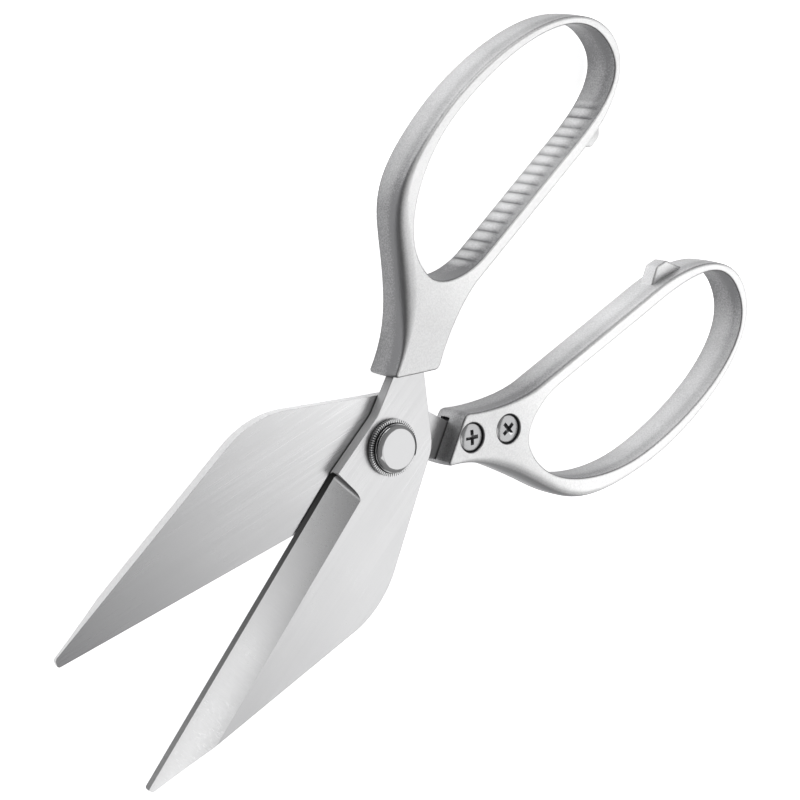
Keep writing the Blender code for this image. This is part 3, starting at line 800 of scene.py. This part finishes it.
blade = {
    "tipY": -99.36, "tipX": -1.2, "tipWide": 2.12, "tipEdgeRound": 0.7, "tipSpineRound": 1.1, "edgeX": -9.23,
    "heelX": -8.25, "heelTopY": 3.0, "heelRound": 8.0, "grindEnd": -13.9, "grindWide": 9.6, "hollow": 0.25,
    "plungeRound": 1.1, "bevelWide": 0.9, "bevelTall": 0.75, "edgeBreak": 0.14, "innerBreak": 0.05,
    "spine": Vector((25.15, -30.1)), "spineRound": 26.0, "shoulder": Vector((10.2, 7.6)),
    "shoulderRound": 9.0, "hole": 3.3, "square": 6.4,
}
edgeSlope = (blade["tipX"] - blade["edgeX"]) / blade["tipY"]
bladeLooks = {
    # fadeFrom and fadeTo are heights in mm along the blade; each fade colour is painted shade: the flats
    # darker towards the tip, the ground face and the last bevel darker towards the plunge, the side walls
    # darker towards the handle; the two flats also take different greys of one steel as painted shade
    "frontFlat": {
        "dark": grey(0.58), "light": grey(0.615), "fade": grey(0.45), "fadeFrom": -25, "fadeTo": -90,
    },
    "backFlat": {
        "dark": grey(0.64), "light": grey(0.675), "fade": grey(0.245), "fadeFrom": 5, "fadeTo": -85,
        "fadeTurn": math.radians(20),
    },
    "ground": {
        "dark": grey(0.7), "light": grey(0.76), "fade": grey(0.42), "fadeFrom": -60, "fadeTo": -16,
        "along": 20, "across": 3600, "deep": 0.00002,
    },
    "bevel": {
        "dark": grey(0.5), "light": grey(0.6), "fade": (0.015, 0.015, 0.015), "fadeFrom": -96, "fadeTo": -14,
        "along": 60, "across": 1800, "metallic": 0.35,
    },
    "wall": {
        "dark": grey(0.68), "light": grey(0.8), "fade": grey(0.14), "fadeFrom": -2, "fadeTo": 15,
        "rough": 0.36, "metallic": 0.25,
    },
}
# which face is which: slopes of a face as the height of its normal, and distances in mm
faceLimits = {
    "wall": 0.35, "bevel": 0.9, "level": 0.9999, "least": 0.05, "inner": 0.02, "outer": 0.001,
    "runOut": 0.1, "plunge": 0.3,
}


def bladePath():
    corners = [
        (Vector((blade["heelX"], blade["heelTopY"])), blade["heelRound"], 10),
        (Vector((blade["heelX"], blade["grindEnd"])), 0, 0),
        (Vector((blade["tipX"], blade["tipY"])), blade["tipEdgeRound"], 5),
        (Vector((blade["tipX"] + blade["tipWide"], blade["tipY"])), blade["tipSpineRound"], 6),
        (blade["spine"], blade["spineRound"], 28),
        (blade["shoulder"], blade["shoulderRound"], 14),
    ]
    corners += [(point, 0, 0) for point in tangOutline()]
    scaled = [(point * mm, radius * mm, steps) for point, radius, steps in corners]
    return filletedPath(scaled, blade["edgeBreak"] * mm, blade["innerBreak"] * mm)


def grindLine(steps=24):
    # section of the ground face: the steep last bevel, then the hollow, then clear of the blade
    tall, inner = bladeThick / mm, meetGap / mm
    low = inner + blade["bevelTall"]
    wide = blade["grindWide"] - blade["bevelWide"]
    outside = inner - overrun * blade["bevelTall"] / blade["bevelWide"]
    line = [(-overrun, outside), (blade["bevelWide"], low)]
    for k in range(1, steps + 1):
        t = k / steps
        dip = blade["hollow"] * 4 * t * (1 - t)
        line.append((blade["bevelWide"] + wide * t, low + (tall - low) * t - dip))
    slope = (tall - low + 4 * blade["hollow"]) / wide
    line.append((blade["grindWide"] + overrun, tall + slope * overrun))
    return line


def grindCutter(steps=12):
    # the section swept along the edge, lifting in an arc where the grinding runs out
    bm = bmesh.new()
    line = grindLine()
    roof = line[-1][1] + blade["plungeRound"] + 2  # above the blade at every station
    stations = [(blade["tipY"] - overrun, 0.0)]
    for k in range(steps + 1):
        turn = math.pi / 2 * k / steps
        rise = blade["plungeRound"] * (1 - math.cos(turn))
        stations.append((blade["grindEnd"] + blade["plungeRound"] * (math.sin(turn) - 1), rise))
    rings = []
    for y, rise in stations:
        edge = blade["edgeX"] + edgeSlope * y
        section = [(edge + x, z + rise) for x, z in line]
        section += [(edge + line[-1][0], roof), (edge - overrun, roof)]
        rings.append([bm.verts.new((x * mm, y * mm, z * mm)) for x, z in section])
    for low, high in zip(rings, rings[1:]):
        joinRings(bm, low, high)
    bm.faces.new(rings[0])
    bm.faces.new(rings[-1])
    return newPiece("grindCutter", bm)


def drill(name, radius, sides, centre=(0, 0)):
    low, high = -overrun * mm, bladeThick + overrun * mm
    return turned(name, [(0, low), (radius, low), (radius, high), (0, high)], sides, centre)


def throughHoles(square):
    radius = (screw["shank"] + handle["gap"]) * mm
    tools = [drill("screwHole", radius, 48, place * mm) for place in screw["places"]]
    if square:
        corners = squareCorners((blade["square"] / 2 + handle["gap"]) * mm)
        tools.append(prism("squareHole", corners, -overrun * mm, bladeThick + overrun * mm))
    else:
        tools.append(drill("pivotHole", blade["hole"] * mm, 72))
    return joined("holes", tools)


def markFaces(piece):
    # 0 is flat stock, 1 the ground face, 2 the last bevel, 3 the side walls
    limits = faceLimits
    for face in piece.data.polygons:
        x, y, z = face.center / mm
        fromEdge = x - blade["edgeX"] - edgeSlope * y
        up = face.normal.z
        inside = limits["inner"] < z < bladeThick / mm - limits["outer"]
        sloped = limits["least"] < up < limits["level"]
        face.material_index = 3 if abs(up) < limits["wall"] else 0
        if y < blade["grindEnd"] + limits["runOut"] and inside and sloped:
            face.material_index = 2 if fromEdge < blade["bevelWide"] and up < limits["bevel"] else 1
            if fromEdge > blade["grindWide"] + limits["plunge"]:
                face.material_index = 3


def makeBlade(name, turn, body, nodes, square, along):
    piece = slab(name, [bladePath()], meetGap, bladeThick, lip=0.02 * mm, arcSteps=3, wallSteps=3)
    combine(piece, grindCutter())
    combine(piece, throughHoles(square))
    side = along + math.pi / 2
    flatLook = bladeLooks["backFlat" if square else "frontFlat"]
    flatTurn = flatLook.get("fadeTurn", along)
    materials = [
        brushedSteel(name + "Flat", along, flatTurn, flatLook),
        brushedSteel(name + "Ground", side, along, bladeLooks["ground"]),
        brushedSteel(name + "Bevel", side, along, bladeLooks["bevel"]),
        brushedSteel(name + "Wall", along, along, bladeLooks["wall"]),
    ]
    for material in materials:
        piece.data.materials.append(material)
    markFaces(piece)
    finished(piece, turn, body, materials, nodes, 9)


makeBlade("frontBlade", frontHalf, "front_half", ["front_blade"], False, opening / 2)
makeBlade("backBlade", backHalf, "back_half", ["back_blade"], True, -opening / 2)


# Pivot

pivotParts = {
    # the nut's core lies toothRoot inside its teeth, and is broken at its foot and its brow
    "journal": 3.0, "stud": 2.4, "boltHead": 6.4, "gap": 0.3, "nut": 6.9, "nutTall": 1.1, "washer": 5.0,
    "washerTall": 0.4, "collar": 5.95, "collarTall": 0.3, "collarRound": 0.1, "cap": 5.8, "capTall": 1.0,
    "capEdgeWide": 0.95, "capEdgeTall": 0.62, "capRound": 0.16, "capCrown": 0.04, "skin": 0.45,
    "headBreak": 0.35, "toothRoot": 0.32, "footIn": 0.25, "footUp": 0.12, "browIn": 0.65, "browDown": 0.45,
}
teeth = {
    "Teeth": 72, "Radius": pivotParts["nut"] * mm, "Deep": 0.75 * mm, "Wide": 0.3 * mm, "Tall": 0.98 * mm,
}


def knurlTree():
    # small straight teeth all round the nut
    tree, source = geometryTree("nutKnurl", [
        ("Teeth", "NodeSocketInt"), ("Radius", "NodeSocketFloat"), ("Deep", "NodeSocketFloat"),
        ("Wide", "NodeSocketFloat"), ("Tall", "NodeSocketFloat"), ("Middle", "NodeSocketFloat"),
        ("Material", "NodeSocketMaterial"),
    ])
    value = source.outputs
    reach = mathNode(tree, "SUBTRACT", value["Radius"], mathNode(tree, "MULTIPLY", value["Deep"], 0.5))
    ring = addNode(tree, "GeometryNodeMeshCircle", {"Vertices": value["Teeth"], "Radius": reach}).outputs[0]
    lift = addNode(tree, "ShaderNodeCombineXYZ", {2: value["Middle"]}).outputs[0]
    ring = addNode(tree, "GeometryNodeSetPosition", {"Geometry": ring, "Offset": lift}).outputs[0]
    size = addNode(tree, "ShaderNodeCombineXYZ", {0: value["Deep"], 1: value["Wide"], 2: value["Tall"]})
    bar = addNode(tree, "GeometryNodeMeshCube", {"Size": size.outputs[0]}).outputs[0]
    index = addNode(tree, "GeometryNodeInputIndex").outputs[0]
    step = mathNode(tree, "DIVIDE", 2 * math.pi, value["Teeth"])
    spin = mathNode(tree, "MULTIPLY", index, step)
    turns = addNode(tree, "ShaderNodeCombineXYZ", {2: spin}).outputs[0]
    bars = addNode(tree, "GeometryNodeInstanceOnPoints", {"Points": ring, "Instance": bar, "Rotation": turns})
    marked = addNode(tree, "GeometryNodeRealizeInstances", {0: bars.outputs[0]}).outputs[0]
    # tooth marks the teeth, so the nut's material paints shade on the core between them
    marked = addNode(tree, "GeometryNodeStoreNamedAttribute", {
        "Geometry": marked, "Name": "tooth", "Value": 1.0})
    both = addNode(tree, "GeometryNodeJoinGeometry")
    tree.links.new(value["Geometry"], both.inputs[0])
    tree.links.new(marked.outputs[0], both.inputs[0])
    endTree(tree, source, both.outputs[0])
    return tree


def makePivot():
    # every height is above the plane where the blades meet
    p = {key: size * mm for key, size in pivotParts.items()}
    bore = p["stud"] + p["gap"]
    nutLow = bladeThick + p["gap"]
    nutTop = nutLow + p["nutTall"]
    collarLow = nutTop + p["gap"]
    capLow = collarLow + p["collarTall"] + p["gap"]
    capTop = capLow + p["capTall"]
    roof = nutLow + p["washerTall"] + p["gap"]
    hollow, core = p["washer"] + p["gap"], p["nut"] - p["toothRoot"]

    nut = turned("knurledNut", [
        (hollow, nutLow), (core - p["footIn"], nutLow), (core, nutLow + p["footUp"]),
        (core, nutTop - p["browDown"]), (core - p["browIn"], nutTop), (bore, nutTop),
        (bore, roof), (hollow, roof),
    ], 152)
    bakeTree(nut, knurlTree(), {**teeth, "Middle": (nutLow + nutTop) / 2, "Material": nutMetal})
    finished(nut, boltTurn, "back_half", [nutMetal], ["knurled_nut"])

    collarTop = capLow - p["gap"]
    collar = turned("pivotCollar", rounded([
        (bore, collarLow), (p["collar"], collarLow), (p["collar"], collarTop), (bore, collarTop),
    ], p["collarRound"]), 128)
    finished(collar, boltTurn, "back_half", [brightMetal], ["pivot_collar"])

    capUnder = capTop - p["skin"]
    cap = turned("pivotCap", rounded([
        (bore, capLow), (p["cap"], capLow), (p["cap"], capTop - p["capEdgeTall"]),
        (p["cap"] - p["capEdgeWide"], capTop - p["capCrown"]), (0, capTop), (0, capUnder), (bore, capUnder),
    ], p["capRound"]), 160)
    finished(cap, boltTurn, "back_half", [brightMetal], ["pivot_cap"], 50)

    seat, studTop = -bladeThick - p["gap"], capUnder - p["gap"]
    bolt = turned("pivotBolt", [
        (0, -halfDepth), (p["boltHead"] - p["headBreak"], -halfDepth),
        (p["boltHead"], p["headBreak"] - halfDepth), (p["boltHead"], seat), (p["journal"], seat),
        (p["journal"], nutLow), (p["stud"], nutLow), (p["stud"], studTop), (0, studTop),
    ], 128)
    corners = squareCorners(blade["square"] / 2 * mm)
    combine(bolt, prism("square", corners, seat - p["gap"], -p["gap"]), "UNION")
    finished(bolt, boltTurn, "back_half", [screwMetal], ["pivot_bolt"])


makePivot()
washer = frame["nodes"]["pivot_washer"]
washer.data.materials.clear()
washer.data.materials.append(screwMetal)


# Floor, lights and camera

studio = {
    "floorSize": 3.0, "floorDrop": 0.05 * mm, "floorThick": 0.01, "floorShade": (0.93, 0.93, 0.935),
    "floorGlow": 0.78, "mottle": 0.985, "sky": 0.5, "dark": 0.16, "brightSide": (0.49, 0.39, 0.78),
}
softBoxes = {
    # place in metres, turn in degrees, size in metres, brightness
    "keyBox": ((0.285, 0.265, 0.35), (0, 0, 45), (0.44, 0.55), 0.78),
    "tipBox": ((0.095, -0.11, 0.35), (0, 0, 25), (0.16, 0.26), 0.8),
    "sideBox": ((-0.42, 0.22, 0.16), (0, -72, -26), (0.22, 0.2), 2.2),
}
camera = {
    "azimuth": -51.63, "elevation": 51.22, "roll": 103.19, "distance": 0.7538, "lens": 142.24, "sensor": 36,
    "aim": Vector((-5.6, 10.1, 0)) * mm, "near": 0.05,
}


def makeFloor():
    low, high = cadBox[0].z - studio["floorThick"], cadBox[0].z - studio["floorDrop"]
    floor = prism("floor", squareCorners(studio["floorSize"] / 2), low, high)
    light = studio["floorShade"]
    dark = tuple(studio["mottle"] * level for level in light)
    material, tree, shader = startMaterial("paleFloor", light, 0.7, 0.0)
    mottle = noise(tree, objectPlace(tree), 14, 3)
    tree.links.new(greyMix(tree, mottle, dark, light), shader.inputs["Base Color"])
    shader.inputs["Emission Color"].default_value = (1, 1, 1, 1)
    shader.inputs["Emission Strength"].default_value = studio["floorGlow"]
    floor.data.materials.append(material)


def makeWorld():
    world = bpy.data.worlds.new("studio")
    bpy.context.scene.world = world
    world.use_nodes = True
    tree = world.node_tree
    direction = addNode(tree, "ShaderNodeTexCoord").outputs["Generated"]
    # brighter towards the key light, dark low down on the other side
    sides = {0: direction, 1: studio["brightSide"]}
    towards = addNode(tree, "ShaderNodeVectorMath", sides, operation="DOT_PRODUCT")
    shade = spread(tree, towards.outputs["Value"], studio["dark"], studio["sky"], 0.0, 1.0)
    background = tree.nodes["Background"]
    tree.links.new(shade, background.inputs["Strength"])
    background.inputs["Color"].default_value = (1, 1, 1, 1)


def softBox(name, place, turn, size, brightness):
    # faces straight down before its turn; its surface is as bright at any size
    light = bpy.data.lights.new(name, "AREA")
    light.shape = "RECTANGLE"
    light.size, light.size_y = size
    light.energy = 4 * size[0] * size[1] * brightness
    lamp = bpy.data.objects.new(name, light)
    bpy.context.scene.collection.objects.link(lamp)
    lamp.location = place
    lamp.rotation_euler = [math.radians(angle) for angle in turn]


def placeCamera():
    azimuth, elevation = math.radians(camera["azimuth"]), math.radians(camera["elevation"])
    level = math.cos(elevation)
    outward = Vector((math.sin(azimuth) * level, -math.cos(azimuth) * level, math.sin(elevation)))
    roll = Matrix.Rotation(math.radians(camera["roll"]), 3, "Z")
    turn = outward.to_track_quat("Z", "Y").to_matrix() @ roll
    data = bpy.data.cameras.new("camera")
    data.sensor_width = camera["sensor"]
    data.lens = camera["lens"]
    data.clip_start = camera["near"]
    viewer = bpy.data.objects.new("camera", data)
    bpy.context.scene.collection.objects.link(viewer)
    aim = camera["aim"] + Vector((0, 0, pivot.z))
    viewer.matrix_world = Matrix.Translation(aim + outward * camera["distance"]) @ turn.to_4x4()
    bpy.context.scene.camera = viewer


makeFloor()
makeWorld()
for boxName, boxSettings in softBoxes.items():
    softBox(boxName, *boxSettings)
placeCamera()
bpy.context.scene.view_settings.view_transform = "Standard"
print("studio ready")
